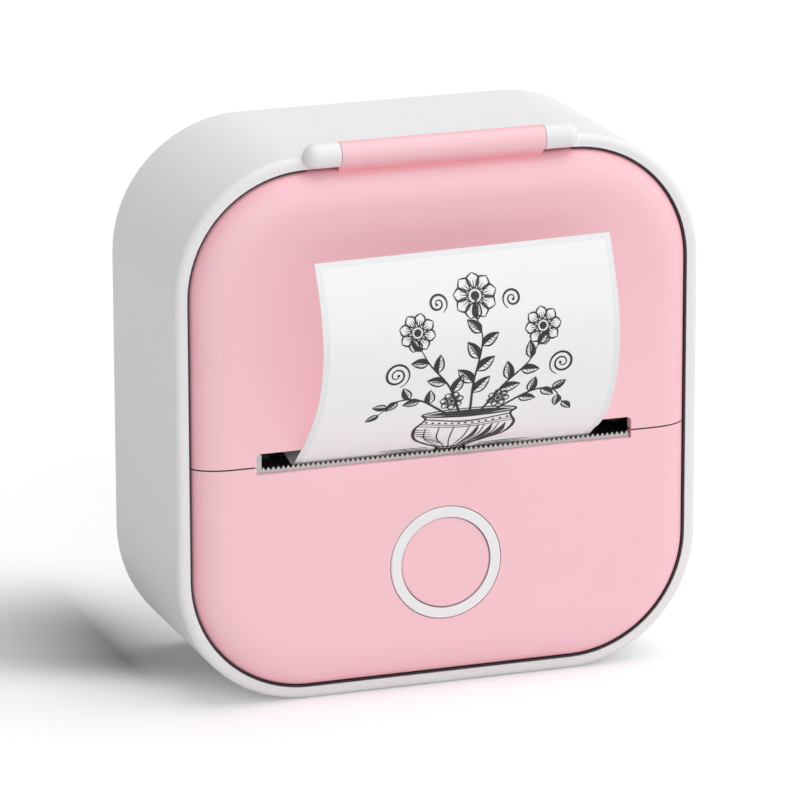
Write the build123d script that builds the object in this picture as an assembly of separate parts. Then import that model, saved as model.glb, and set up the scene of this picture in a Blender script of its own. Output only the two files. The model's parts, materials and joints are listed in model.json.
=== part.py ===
import os
from math import atan2, cos, degrees, pi, radians, sin, sqrt, tan

from build123d import *

# A pocket label printer. Millimetres, X to the right, the front faces -Y, Z up,
# origin in the middle of the base.

# Paper
paper_width = 50.0
paper_thickness = 0.15
roll_radius = 14.0
roll_lift = 0.4
core_radius = 6.5
core_bore = 5.5
core_overhang = 0.2
exit_dip = 7.3
exit_past = 0.6
left_curl = [(2.1, 0.4), (9.6, 6.4), (17.4, 14.5), (19.3, 22.2), (12.5, 35.3)]
right_curl = [(1.9, 0.5), (7.3, 7.2), (11.9, 16.4), (12.7, 21.5), (8.5, 35.0)]
curl_lean = 3.0

# Casing: its room round the paper roll and the drive
side_room = 15.6
top_room = 8.0
front_room = 3.4
corner_radius = 21.7
wall = 2.0
rim_round = 1.2
back_round = 3.0

# Pink front panels: one crowned form, parted by a seam
panel_gap = 0.35
panel_proud = 2.4
crown_width = 6.15
crown_depth = 3.6
panel_wall = 1.8
seam_height = 40.1
seam_gap = 0.25

# Paper slot
slot_side = 6.65
slot_above = 2.2
slot_below = 1.3
slot_corner = 0.8

# Tear blade
blade_thickness = 0.4
blade_setback = 0.7
blade_depth = 2.6
blade_show = 0.45
tooth_pitch = 0.83
tooth_height = 0.6
blade_fit = 0.03
blade_end_gap = 0.05
blade_tab_width = 1.0
blade_tab_drop = 0.3

# Cover hinge
hinge_forward = 0.2
hinge_above = 0.1
hinge_radius = 2.0
barrel_length = 34.0
knuckle_length = 3.8
knuckle_side_gap = 0.1
barrel_clearance = 0.25
lip_crease = 30.0
lip_drop = 2.7
pin_radius = 0.8
pin_grip = 3.5
running_clearance = 0.05
swing_clearance = 0.1

# Button and its light ring
button_height = 21.2
ring_outer = 9.3
ring_inner = 7.58
ring_proud = 0.15
ring_gap = 0.12
ring_depth = 2.9
ring_flange = 1.0
ring_flange_depth = 0.8
button_gap = 0.15
button_flange = 1.0
button_wall = 1.2
button_reach = 1.1
button_flange_depth = 0.8
stem_radius = 1.6
button_travel = 0.5

# Chassis
chassis_gap = 0.3
deck_setback = 5.4
deck_thickness = 1.6
chassis_wall = 1.4
roll_clearance = 1.0
well_gap = 0.2
well_side = 2.0
floor_rise = 6.3
cheek_drop = 8.1
cheek_depth = 10.5
nip_side = 7.6
spring_wall = 1.0
guide_side = 0.65
guide_rise = 0.2
guide_thickness = 1.4
guide_lip = 0.9

# Screws
screw_head_radius = 1.9
screw_head_height = 1.3
screw_radius = 0.9
screw_length = 7.0
screw_fit = 0.05
board_screw_radius = 0.7
board_screw_length = 5.0
boss_radius = 3.0
boss_inset = 12.0
side_head_radius = 1.5
side_head_height = 0.9
side_screw_radius = 0.7
side_hole_radius = 0.75
motor_screw_length = 1.7
plate_screw_length = 3.2

# Platen and its drive
platen_radius = 4.0
platen_overhang = 0.8
platen_setback = 5.5
platen_rise = 0.6
platen_shaft_radius = 1.5
bush_radius = 2.2
bush_seat = 0.25
bush_flange = 0.8
arm_thickness = 2.0
arm_radius = 3.4
arm_gap = 0.2
gear_module = 0.5
gear_width = 1.5
platen_teeth = 14
small_teeth = 18
large_teeth = 32
pinion_teeth = 12
mesh_clearance = 0.1
backlash = 0.16
gear_plate_gap = 1.4
gear_plate_thickness = 1.0
post_radius = 0.8
motor_direction = -21.6
motor_radius = 7.5
motor_length = 15.0
motor_shaft_radius = 0.75
motor_flange = 0.8
motor_boss_radius = 2.5
gear_hub = 0.4
plate_boss_radius = 1.9

# Print head
head_gap = 0.25
head_thickness = 0.8
head_overhang = 1.0
head_height = 9.0
head_plate_thickness = 1.5
head_pivot_radius = 0.9
spring_radius = 1.6
spring_wire = 0.3
spring_spacing = 28.0
spring_cup = 0.4
heater_margin = 0.5
heater_tall = 1.0
heater_glaze = 0.06
flex_width = 16.0
flex_thickness = 0.2
flex_bend = 1.2
flex_drop = 3.6
flex_end_drop = 4.4
flex_board_gap = 2.0

# Boards, battery and charging socket
board_thickness = 1.6
board_gap = 5.4
board_side = 10.0
board_low = 4.0
board_headroom = 4.6
board_post_radius = 2.0
board_post_side = 10.0
board_post_inset = 4.0
board_tab = 5.0
chip_drop = 7.6
chip_step = 10.0
chip_x = 12.0
socket_drop = 5.5
socket_width = 9.0
socket_thickness = 3.2
socket_length = 7.4
socket_fit = 0.3
socket_setback = 0.8
socket_wall = 0.3
tongue_tall = 6.6
tongue_thickness = 0.7
battery_side = 3.0
battery_low = 3.5
battery_headroom = 6.1
battery_thickness = 8.0
foam_thickness = 0.5
foam_width = 40.0
foam_tall = 18.0
switch_size = 6.0
switch_height = 1.6
button_board_thickness = 1.0
button_board_standoff = 1.0
button_board_width = 22.0
button_board_tall = 14.0
button_post_x = 9.0
button_post_rise = 4.0
button_post_radius = 1.5
plunger_proud = 0.6
light_offset = 0.8

# Small fixings and seats
ear_radius = 2.1
ear_direction = 60.0
liner_thickness = 1.4
liner_side = 4.4
liner_above_seam = 1.1
liner_top_gap = 10.0
stake_radius = 1.2
stake_x = 24.0
stake_foot = 1.0
stake_top_gap = 7.0
stake_proud = 0.4
arm_root_tall = 12.0
arm_root_rise = 4.0
rib_thickness = 1.2
rib_reach = 1.8
rib_short = 4.0
rib_gap = 0.8
sensor_half = 1.9
sensor_depth = 2.8
sensor_setback = 3.25
head_rise = 4.1

# Planes and places that follow from them
well_half_width = paper_width / 2 + well_side
cheek_out = well_half_width + chassis_wall
well_radius = roll_radius + roll_clearance
platen_height = seam_height + platen_radius + platen_rise
floor_height = platen_height + floor_rise
shell_width = 2 * (cheek_out + side_room)
shell_height = floor_height + 2 * well_radius + top_room
shell_depth = front_room + roll_radius + well_radius + well_gap + chassis_wall + wall
slot_width = paper_width + 2 * slot_side
slot_top = seam_height + slot_above
slot_bottom = seam_height - slot_below
rim = -shell_depth / 2
back = shell_depth / 2
panel_front = rim - panel_proud
contour = panel_front + crown_depth
panel_back = panel_front + panel_wall
cover_edge = seam_height + seam_gap / 2
panel_edge = seam_height - seam_gap / 2
middle = shell_height / 2
platen_y = rim + platen_setback
boss_x = shell_width / 2 - boss_inset
hinge_y = rim - hinge_forward
hinge_z = shell_height + hinge_above
deck_front = rim + deck_setback
deck_back = deck_front + deck_thickness
cavity_back = back - wall
panel_inset = wall + panel_gap
panel_top = shell_height - panel_inset
well_y = cavity_back - chassis_wall - well_gap - well_radius
well_z = floor_height + well_radius
roll_z = floor_height + roll_lift + roll_radius
cheek_bottom = platen_height - cheek_drop
cheek_back = platen_y + cheek_depth
web_y = platen_y + platen_radius + 0.1
head_front = platen_y + platen_radius + head_gap + 0.1
head_back = head_front + head_thickness
head_plate_back = head_back + head_plate_thickness
head_half_width = paper_width / 2 + head_overhang
head_top = platen_height + head_rise
spring_seat = cheek_back - spring_wall
arm_inner = cheek_out + arm_gap
arm_outer = arm_inner + arm_thickness
shaft_gear_start = arm_outer + bush_flange
gear_plate_x = cheek_out + gear_plate_gap
plate_out = gear_plate_x + gear_plate_thickness
blade_front = panel_front + blade_setback
blade_back = blade_front + blade_thickness
blade_edge = slot_bottom + blade_show
platen_pitch = gear_module * platen_teeth / 2
small_pitch = gear_module * small_teeth / 2
large_pitch = gear_module * large_teeth / 2
pinion_pitch = gear_module * pinion_teeth / 2
blade_half = slot_width / 2 - blade_end_gap
guide_top = slot_bottom + guide_rise
guide_half_width = slot_width / 2 - guide_side
liner_back = panel_back + liner_thickness
liner_half_width = arm_outer + liner_side
liner_low = seam_height + liner_above_seam
liner_high = shell_height - liner_top_gap
pivot_y = (head_back + head_plate_back) / 2 + 0.2
pivot_z = head_top - head_height - 0.2
spring_z = head_top - 2.4
away = atan2(platen_height - hinge_z, platen_y - hinge_y) + pi / 2
idler_gap = platen_pitch + small_pitch + mesh_clearance
idler_y = platen_y + idler_gap * cos(away)
idler_z = platen_height + idler_gap * sin(away)
motor_gap = large_pitch + pinion_pitch + mesh_clearance
motor_y = idler_y + motor_gap * cos(radians(motor_direction))
motor_z = idler_z + motor_gap * sin(radians(motor_direction))
ear_reach = motor_radius + ear_radius - 0.2
ear_turn = radians(ear_direction)
motor_ears = [
    (motor_y + side * ear_reach * cos(ear_turn), motor_z + side * ear_reach * sin(ear_turn))
    for side in (1, -1)
]
plate_bosses = [(cheek_back - 1.7, cheek_bottom + 1.6), (well_y + 9.0, well_z - 11.6)]
screw_places = [(x, z) for x in (-boss_x, boss_x) for z in (boss_inset, shell_height - boss_inset)]
board_front = cavity_back - board_gap - board_thickness
board_width = shell_width - 2 * board_side
board_high = cheek_bottom - board_headroom
board_post_x = board_width / 2 - board_post_side
socket_height = board_high - socket_drop
board_post_heights = (board_low + board_post_inset, board_high - board_post_inset)
board_posts = [(x, z) for x in (-board_post_x, board_post_x) for z in board_post_heights]
stake_heights = (floor_height - stake_foot, liner_high - stake_top_gap)
stakes = [(x, z) for x in (-stake_x, stake_x) for z in stake_heights]
button_post_heights = (button_height - button_post_rise, button_height + button_post_rise)
button_posts = [(x, z) for x in (-button_post_x, button_post_x) for z in button_post_heights]
button_board_front = deck_front - button_board_standoff - button_board_thickness
switch_front = button_board_front - switch_height
plunger_front = switch_front - plunger_proud
cap_back = panel_back + button_reach
ring_back = panel_back + ring_flange
pinion_end = shaft_gear_start + 2 * gear_width + 2 * gear_hub
pin_end = barrel_length / 2 + pin_grip - 0.1
core_half = paper_width / 2 + core_overhang
battery_front = deck_back + foam_thickness
battery_back = battery_front + battery_thickness
battery_tall = cheek_bottom - battery_headroom - battery_low
battery_width = 2 * (boss_x - boss_radius - battery_side)
battery_mid = battery_low + battery_tall / 2
flex_shelf = cheek_bottom - flex_drop
flex_end = board_high - flex_end_drop
chip_row = flex_end - chip_drop
nose_y = web_y + paper_thickness + chassis_wall
sensor_y = nose_y + sensor_setback
light_radius = ring_outer + light_offset
flex_y = board_front - flex_board_gap
light_places = [
    (light_radius * sin(radians(a)), button_height + light_radius * cos(radians(a)))
    for a in (60, 120, 240, 300)
]


def slab(sketch, front, rear):
    """Fill a sketch drawn in X and Z between two Y planes."""
    return extrude(Plane.XZ.offset(-rear) * sketch, rear - front)


def along_x(sketch, start, end):
    """Fill a sketch drawn in Y and Z between two X planes."""
    return extrude(Plane.YZ.offset(start) * sketch, end - start)


def rod(start, end, radius, y, z):
    return along_x(Pos(y, z) * Circle(radius), start, end)


def peg(front, rear, radius, x, z):
    return slab(Pos(x, z) * Circle(radius), front, rear)


def block(x0, x1, y0, y1, z0, z1):
    return Pos((x0 + x1) / 2, (y0 + y1) / 2, (z0 + z1) / 2) * Box(x1 - x0, y1 - y0, z1 - z0)


def both_sides(shape):
    """A shape and its mirror image across the middle."""
    return shape + mirror(shape, about=Plane.YZ)


def outline(inset):
    """The casing's rounded square, drawn smaller by an inset on every side."""
    square = RectangleRounded(shell_width - 2 * inset, shell_height - 2 * inset, corner_radius - inset)
    return Pos(0, middle) * square


def crowned(inset, lift, rear):
    """The front panels' pillow: flat in front, an elliptical edge, straight sides to the rear plane.
    Inset draws the form in from every side and lift moves its front back."""
    path = (Plane.XZ.offset(-contour) * outline(panel_inset + crown_width)).face().outer_wire()
    reach = crown_width - inset
    rise = crown_depth - lift
    start = Plane(
        origin=(0, contour, panel_inset + crown_width), x_dir=(0, 0, -1), z_dir=(-1, 0, 0)
    )
    arc = EllipticalCenterArc((0, 0), reach, rise, start_angle=0, arc_size=90)
    edge = make_face(
        [
            arc.edge(),
            Line((0, rise), (0, contour - rear)).edge(),
            Line((0, contour - rear), (reach, contour - rear)).edge(),
            Line((reach, contour - rear), (reach, 0)).edge(),
        ]
    )
    core = slab(outline(panel_inset + crown_width), panel_front + lift, rear)
    return core + sweep(start * edge, path=path)


def screw(front, x, z, radius, length):
    """A pan head screw driven from the front, with a cross recess in its head."""
    recess = Rectangle(2.0, 0.5) + Rectangle(0.5, 2.0)
    head = peg(front - screw_head_height, front, screw_head_radius, x, z)
    head = fillet(head.faces().sort_by(Axis.Y)[0].edges(), 0.5)
    head -= slab(Pos(x, z) * recess, front - screw_head_height, front - screw_head_height + 0.7)
    return head + peg(front, front + length, radius, x, z)


def side_screw(start, y, z, length):
    """A small screw driven along -X into a wall, its head outside."""
    end = start + side_head_height
    head = rod(start, end, side_head_radius, y, z)
    head -= along_x(Pos(y, z) * Rectangle(1.2 * side_head_radius, 0.4), end - 0.4, end)
    return head + rod(start - length, start, side_screw_radius, y, z)


def gear_outline(teeth, tooth_at):
    """Straight-flanked teeth on a pitch circle, one of them centred on an angle in degrees."""
    pitch = gear_module * teeth / 2
    tip = pitch + 0.9 * gear_module
    root = pitch - 1.2 * gear_module
    slope = tan(radians(20))
    half = pi / 2 / teeth - backlash / 2 / pitch
    half_tip = half - (tip - pitch) * slope / tip
    half_root = min(half + (pitch - root) * slope / root, pi / teeth * 0.92)
    points = []
    for tooth in range(teeth):
        centre = radians(tooth_at) + tooth * 2 * pi / teeth
        for radius, angle in ((root, -half_root), (tip, -half_tip), (tip, half_tip), (root, half_root)):
            points.append((radius * cos(centre + angle), radius * sin(centre + angle)))
    return make_face(Polyline(*points, close=True))


def gear(teeth, start, end, y, z, tooth_at, bore):
    return along_x(Pos(y, z) * (gear_outline(teeth, tooth_at) - Circle(bore)), start, end)


def bearing(from_y, from_z, to_y, to_z):
    return degrees(atan2(to_z - from_z, to_y - from_y))


def casing():
    """The white tub: straight walls, rounded front rim and back, hinge knuckles on its top front edge."""
    tub = slab(outline(0), rim, back)
    tub = fillet(tub.faces().sort_by(Axis.Y)[-1].edges(), back_round)
    tub = fillet(tub.faces().sort_by(Axis.Y)[0].edges(), rim_round)
    tub -= slab(outline(wall), rim, cavity_back)
    half_barrel = barrel_length / 2 + knuckle_side_gap
    knuckle = rod(half_barrel, half_barrel + knuckle_length, hinge_radius, hinge_y, hinge_z)
    knuckle += Pos(half_barrel + knuckle_length, hinge_y, hinge_z) * Sphere(hinge_radius)
    tub += both_sides(knuckle)
    tub -= rod(-half_barrel, half_barrel, hinge_radius + barrel_clearance, hinge_y, hinge_z)
    pin_end = barrel_length / 2 + pin_grip
    tub -= rod(-pin_end, pin_end, pin_radius + running_clearance / 2, hinge_y, hinge_z)
    for x, z in screw_places:
        tub += peg(deck_back, cavity_back, boss_radius, x, z)
        tub -= peg(deck_back, deck_back + screw_length, screw_radius + screw_fit, x, z)
    for x, z in board_posts:
        tub += peg(board_front + board_thickness, cavity_back, board_post_radius, x, z)
        tub -= peg(board_front, board_front + board_screw_length, board_screw_radius + screw_fit, x, z)
    port = Pos(board_front - socket_thickness / 2, socket_height)
    port *= RectangleRounded(socket_thickness + 2 * socket_fit, socket_width + 2 * socket_fit, 1.6)
    tub -= along_x(port, shell_width / 2 - 2 * wall, shell_width / 2 + 1)
    return tub


def front_skin():
    """Both front panels before the seam parts them: one hollow crowned form."""
    return crowned(0, 0, deck_front) - crowned(panel_wall, panel_wall, deck_front)


def front_half(rear, low, high):
    """All the space in front of a plane, between two heights: it parts the panels at their seam."""
    return block(-shell_width, shell_width, -2 * shell_depth, rear, low, high)


def swing():
    """What can turn about the cover's hinge and miss the lower panel's top edge."""
    reach = hinge_z - panel_edge - swing_clearance
    return rod(-shell_width / 2, shell_width / 2, reach, hinge_y, hinge_z)


def slot_mouth():
    """The paper slot's outline: a square-cornered foot and a round-cornered head."""
    tall = slot_top - slot_bottom
    mouth = Pos(0, slot_bottom + tall / 2) * Rectangle(slot_width, tall)
    return fillet(mouth.vertices().group_by(Axis.Y)[-1], slot_corner)


def crown_front(z):
    """Where the crown's front lies at a height near the cover's top edge, in the middle of its width."""
    rise = (z - (panel_top - crown_width)) / crown_width
    return contour - crown_depth * sqrt(1 - rise * rise)


def cover():
    """The pink upper cover, its hinge barrel and flange, and the stakes for its liner."""
    skin = front_skin() & front_half(deck_front - chassis_gap, cover_edge, 2 * shell_height)
    half = barrel_length / 2
    crease = radians(lip_crease)
    foot = shell_height - lip_drop
    lip = Polyline(
        (hinge_y, hinge_z),
        (hinge_y - hinge_radius * cos(crease), hinge_z - hinge_radius * sin(crease)),
        (crown_front(foot), foot),
        (contour, foot),
        (contour, panel_top),
        (contour - 1.0, panel_top),
        close=True,
    )
    skin += along_x(make_face(lip), -half, half)
    skin += rod(-half, half, hinge_radius, hinge_y, hinge_z)
    skin -= rod(-half, half, pin_radius + running_clearance, hinge_y, hinge_z)
    skin -= slab(slot_mouth(), panel_front - 1, deck_front)
    for x, z in stakes:
        skin += peg(panel_back, liner_back + stake_proud, stake_radius, x, z)
    return skin & swing()


def liner():
    """The black inner frame of the cover: paper ribs round the roll and the two platen arms."""
    plate = Pos(0, (liner_low + liner_high) / 2)
    plate *= RectangleRounded(2 * liner_half_width, liner_high - liner_low, 6.0)
    part = slab(plate, panel_back, liner_back)
    part -= slab(slot_mouth(), panel_back, liner_back)
    for x, z in stakes:
        part -= peg(panel_back, liner_back, stake_radius + screw_fit, x, z)
    for x in (-18.0, -6.0, 6.0, 18.0):
        rib = Pos(liner_back + rib_reach / 2, roll_z) * Rectangle(rib_reach, 2 * roll_radius - rib_short)
        rib -= Pos(well_y, roll_z) * Circle(roll_radius + rib_gap)
        part += along_x(rib, x - rib_thickness / 2, x + rib_thickness / 2)
    arm = make_hull(
        [
            *(Pos(platen_y, platen_height) * Circle(arm_radius)).edges(),
            *(Pos(liner_back - 0.5, platen_height + arm_root_rise) * Rectangle(1.0, arm_root_tall)).edges(),
        ]
    )
    arms = along_x(arm, arm_inner, arm_outer)
    arms -= rod(arm_inner, arm_outer, bush_radius + 0.01, platen_y, platen_height)
    part += both_sides(arms)
    return part & swing()


def lower_panel():
    """The pink lower front panel with the ring's seat and the blade's groove."""
    skin = front_skin() & front_half(deck_front, -wall, panel_edge)
    skin -= slab(slot_mouth(), panel_front - 1, deck_front)
    groove = blade_half + blade_fit
    skin -= block(
        -groove,
        groove,
        blade_front - blade_fit,
        blade_back + blade_fit,
        slot_bottom - blade_depth,
        slot_bottom,
    )
    skin -= peg(panel_front - 1, panel_back + 1, ring_outer + ring_gap, 0, button_height)
    return skin


def tear_blade():
    """A steel strip with punched teeth along its top, and a turned-up tab at its left end."""
    teeth = int(2 * blade_half / tooth_pitch)
    first = -teeth * tooth_pitch / 2
    points = [(-blade_half, blade_edge), (first, blade_edge)]
    for tooth in range(teeth):
        points.append((first + (tooth + 0.5) * tooth_pitch, blade_edge + tooth_height))
        points.append((first + (tooth + 1) * tooth_pitch, blade_edge))
    points += [(blade_half, blade_edge), (blade_half, slot_bottom - blade_depth)]
    points.append((-blade_half, slot_bottom - blade_depth))
    strip = slab(make_face(Polyline(*points, close=True)), blade_front, blade_back)
    tab_tall = slot_top - blade_tab_drop - slot_bottom
    tab = Pos(-blade_half + blade_tab_width / 2, slot_bottom + tab_tall / 2)
    tab *= RectangleRounded(blade_tab_width, tab_tall, 0.3)
    return strip + slab(tab, blade_front, blade_back)


def light_ring():
    """The white ring round the button, with a flange behind the panel."""
    front = panel_front - ring_proud
    tube = peg(front, front + ring_depth, ring_outer, 0, button_height)
    tube = fillet(tube.faces().sort_by(Axis.Y)[0].edges(), 0.25)
    tube += peg(ring_back - ring_flange_depth, ring_back, ring_outer + ring_flange, 0, button_height)
    return tube - peg(front, ring_back, ring_inner, 0, button_height)


def power_button():
    """The pink cap: crowned disc, retaining flange behind the ring, stem towards the switch."""
    radius = ring_inner - button_gap
    end = cap_back + button_flange_depth
    cap = peg(panel_front, cap_back, radius, 0, button_height)
    cap = fillet(cap.faces().sort_by(Axis.Y)[0].edges(), 0.3)
    cap += peg(cap_back, end, radius + button_flange, 0, button_height)
    cap -= peg(panel_front + button_wall, end, radius - button_wall, 0, button_height)
    return cap + peg(panel_front + button_wall, plunger_front, stem_radius, 0, button_height)


def chassis():
    """The black inner frame: deck, paper well, nip cheeks with platen seats, spring wall, exit guide."""
    deck = slab(outline(wall + chassis_gap), deck_front, deck_back)
    well_top = well_z + well_radius
    nip = cheek_out + nip_side
    deck -= block(-well_half_width, well_half_width, rim, well_y, floor_height, well_top)
    deck -= block(-nip, nip, rim, well_y, cheek_bottom, floor_height + 1.5)
    inside = Pos(well_y, well_z) * Circle(well_radius)
    inside += Pos((well_y + rim) / 2, well_z) * Rectangle(well_y - rim, 2 * well_radius)
    outside = Pos(well_y, well_z) * Circle(well_radius + chassis_wall)
    tall = 2 * (well_radius + chassis_wall)
    outside += Pos((well_y + deck_back) / 2, well_z) * Rectangle(well_y - deck_back, tall)
    well = along_x(outside, -cheek_out, cheek_out) - along_x(inside, -well_half_width, well_half_width)
    low = floor_height - chassis_wall
    half = well_half_width
    well += block(-half, half, nose_y, well_y, low, floor_height)
    well -= block(-half, half, deck_back - 1, nose_y, low - 1, floor_height)
    nose = rod(-half, half, chassis_wall, nose_y, low)
    well += nose & block(-half, half, deck_back, nose_y, low, floor_height)
    cheek = block(well_half_width, cheek_out, platen_y, cheek_back, cheek_bottom, floor_height + 1)
    cheek -= rod(well_half_width, cheek_out, bush_radius + bush_seat, platen_y, platen_height)
    cheek -= rod(well_half_width, cheek_out, head_pivot_radius + running_clearance, pivot_y, pivot_z)
    for y, z in plate_bosses:
        cheek += rod(cheek_out, gear_plate_x, plate_boss_radius, y, z)
    part = deck + well + both_sides(cheek)
    part += block(-cheek_out, cheek_out, spring_seat, cheek_back, cheek_bottom, low)
    for y, z in plate_bosses:
        part -= rod(cheek_out - chassis_wall, gear_plate_x, side_hole_radius, y, z)
    guide_front = panel_back + chassis_gap
    guide = Polyline(
        (guide_front, guide_top - 0.3),
        (guide_front + guide_lip - 0.3, guide_top),
        (deck_front, guide_top),
        (deck_back, cheek_bottom),
        (deck_front, cheek_bottom - 1.5),
        (deck_front, guide_top - guide_thickness),
        (guide_front, guide_top - guide_thickness),
        close=True,
    )
    part += along_x(make_face(guide), -guide_half_width, guide_half_width)
    hole = Pos(0, sensor_y) * Rectangle(2 * sensor_half + 0.2, sensor_depth + 0.2)
    part -= extrude(Plane.XY.offset(low - 1) * hole, chassis_wall + 2)
    for x, z in screw_places:
        part -= peg(deck_front - 1, deck_back, screw_radius + screw_fit, x, z)
    for x, z in button_posts:
        part += peg(deck_front - button_board_standoff, deck_front, button_post_radius, x, z)
    return part


def paper_path():
    """The web's middle line in Y and Z, from under the roll to the tear blade."""
    half = paper_thickness / 2
    floor = floor_height + paper_thickness
    turn = chassis_wall + paper_thickness
    nose = (web_y + turn, floor_height - chassis_wall)
    wrap = platen_radius + 0.1
    leave = radians(-90 + exit_dip)
    last = (platen_y + wrap * cos(leave), platen_height + wrap * sin(leave))
    heading = (-cos(radians(exit_dip)), -sin(radians(exit_dip)))
    reach = platen_setback + exit_past
    end = (last[0] + reach * heading[0], last[1] + reach * heading[1])
    line = Line((well_y, floor), (nose[0], floor))
    line += CenterArc(nose, turn, 90, 90)
    line += Line((web_y, nose[1]), (web_y, platen_height))
    line += CenterArc((platen_y, platen_height), wrap, 0, -90 + exit_dip)
    line += Line(last, end)
    return line, end, heading


def paper_strip():
    """One web: under the roll, over the chassis nose, round the platen, out over the blade, then its curl.
    Its two side edges curl by different amounts, the left one further forward. The curl's points are
    measured out from the casing's rim and up from the seam."""
    line, end, heading = paper_path()
    web = along_x(trace(line, line_width=paper_thickness), -paper_width / 2, paper_width / 2)
    ends = []
    for x, steps in ((-paper_width / 2, left_curl), (paper_width / 2, right_curl)):
        points = [(rim - out, seam_height + up) for out, up in steps]
        last = (points[-1][0] - points[-2][0] + curl_lean, points[-1][1] - points[-2][1])
        curl = Spline(end, *points, tangents=(heading, last))
        ends.append((Plane.YZ.offset(x) * trace(curl, line_width=paper_thickness)).face())
    return web + loft(ends, ruled=True)


def platen_roller():
    half = paper_width / 2 + platen_overhang
    rubber = rod(-half, half, platen_radius, platen_y, platen_height)
    rubber = chamfer(rubber.edges().filter_by(GeomType.CIRCLE), 0.3)
    return rubber - rod(-half, half, platen_shaft_radius, platen_y, platen_height)


def platen_shaft():
    end = shaft_gear_start + gear_width + 0.1
    return rod(-shaft_gear_start - 0.1, end, platen_shaft_radius, platen_y, platen_height)


def platen_bushes():
    """Plain flanged bushes; their inner ends sit in the chassis cheeks when the cover is shut."""
    inner = well_half_width + 0.1
    bush = rod(inner, arm_outer, bush_radius, platen_y, platen_height)
    bush += rod(arm_outer, arm_outer + bush_flange - 0.1, bush_radius + 0.8, platen_y, platen_height)
    bore = platen_shaft_radius + running_clearance
    return both_sides(bush - rod(inner, shaft_gear_start, bore, platen_y, platen_height))


def print_head():
    return block(
        -head_half_width, head_half_width, head_front, head_back, head_top - head_height, head_top
    )


def heater_line():
    """The glazed line of heaters on the head's face, level with the platen's axis."""
    half = paper_width / 2 - heater_margin
    low = platen_height - heater_tall / 2
    return block(
        -half, half, head_front - heater_glaze, head_front, low, low + heater_tall
    )


def head_plate():
    """Aluminium backing with lightening grooves and two pivot stubs."""
    half = head_half_width + 0.6
    plate = block(-half, half, head_back, head_plate_back, head_top - head_height - 1.2, head_top)
    for x in (-spring_spacing / 2, spring_spacing / 2):
        plate -= peg(head_plate_back - spring_cup, head_plate_back, spring_radius + 0.2, x, spring_z)
    stub = rod(half - 2, cheek_out - 0.1, head_pivot_radius, pivot_y, pivot_z)
    return plate + both_sides(stub)


def coil(x):
    """A compression spring standing along Y between the head plate and the chassis wall."""
    start = head_plate_back - spring_cup + spring_wire / 2
    length = spring_seat - start - spring_wire / 2
    radius = spring_radius - spring_wire / 2
    helix = Helix(pitch=length / 3, height=length, radius=radius)
    wire = sweep(Plane(helix ^ 0) * RegularPolygon(spring_wire / 2, 6), path=helix, is_frenet=True)
    return Pos(x, start, spring_z) * Rot(-90, 0, 0) * wire


def gear_plate():
    """Steel plate that carries the motor and the reduction gear's post."""
    corners = [(idler_y, idler_z), *motor_ears, *plate_bosses]
    edges = [edge for y, z in corners for edge in (Pos(y, z) * Circle(ear_radius)).edges()]
    plate = along_x(make_hull(edges), gear_plate_x, plate_out)
    plate -= rod(gear_plate_x, plate_out, motor_boss_radius + 0.1, motor_y, motor_z)
    plate -= rod(gear_plate_x, plate_out, post_radius, idler_y, idler_z)
    for y, z in [*motor_ears, *plate_bosses]:
        plate -= rod(gear_plate_x, plate_out, side_hole_radius, y, z)
    return plate


def reduction_gear():
    """Compound gear: a small wheel for the platen, a large one for the motor."""
    bore = post_radius + running_clearance
    to_platen = bearing(idler_y, idler_z, platen_y, platen_height)
    to_motor = bearing(idler_y, idler_z, motor_y, motor_z)
    small_end = shaft_gear_start + gear_width
    small = gear(small_teeth, shaft_gear_start, small_end, idler_y, idler_z, to_platen, bore)
    large_start = small_end + gear_hub
    hub = rod(small_end, large_start, small_pitch - gear_module * 1.3, idler_y, idler_z)
    hub -= rod(small_end, large_start, bore, idler_y, idler_z)
    large = gear(large_teeth, large_start, large_start + gear_width, idler_y, idler_z, to_motor, bore)
    return small + hub + large


def drive_motor():
    """Stepper can with a mounting flange, two ears and a front boss."""
    flange_start = gear_plate_x - motor_flange
    can = rod(gear_plate_x - motor_length, flange_start, motor_radius, motor_y, motor_z)
    can = fillet(can.faces().sort_by(Axis.X)[0].edges(), 0.8)
    flange = make_hull(
        [
            *(Pos(*motor_ears[0]) * Circle(ear_radius)).edges(),
            *(Pos(*motor_ears[1]) * Circle(ear_radius)).edges(),
            *(Pos(motor_y, motor_z) * Circle(5.0)).edges(),
        ]
    )
    can += along_x(flange, flange_start, gear_plate_x)
    can += rod(gear_plate_x, plate_out, motor_boss_radius, motor_y, motor_z)
    for y, z in motor_ears:
        can -= rod(flange_start, gear_plate_x, side_hole_radius, y, z)
    return can - rod(gear_plate_x - 1, plate_out, motor_shaft_radius + running_clearance, motor_y, motor_z)


def motor_shaft():
    start = gear_plate_x - 1
    return rod(start, pinion_end, motor_shaft_radius, motor_y, motor_z)


def motor_pinion():
    """Brass pinion in mesh with the large wheel: a gap of its teeth faces that wheel's tooth."""
    facing = bearing(motor_y, motor_z, idler_y, idler_z) + 180 / pinion_teeth
    start = pinion_end - gear_width - gear_hub
    return gear(pinion_teeth, start, pinion_end, motor_y, motor_z, facing, motor_shaft_radius)


def platen_gear():
    """The platen's gear: a gap of its teeth faces the small wheel's tooth."""
    facing = bearing(platen_y, platen_height, idler_y, idler_z) + 180 / platen_teeth
    end = shaft_gear_start + gear_width
    return gear(platen_teeth, shaft_gear_start, end, platen_y, platen_height, facing, platen_shaft_radius)


def idler_post():
    post = rod(gear_plate_x, pinion_end, post_radius, idler_y, idler_z)
    return post + rod(pinion_end, pinion_end + 0.5, post_radius + 0.6, idler_y, idler_z)


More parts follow.
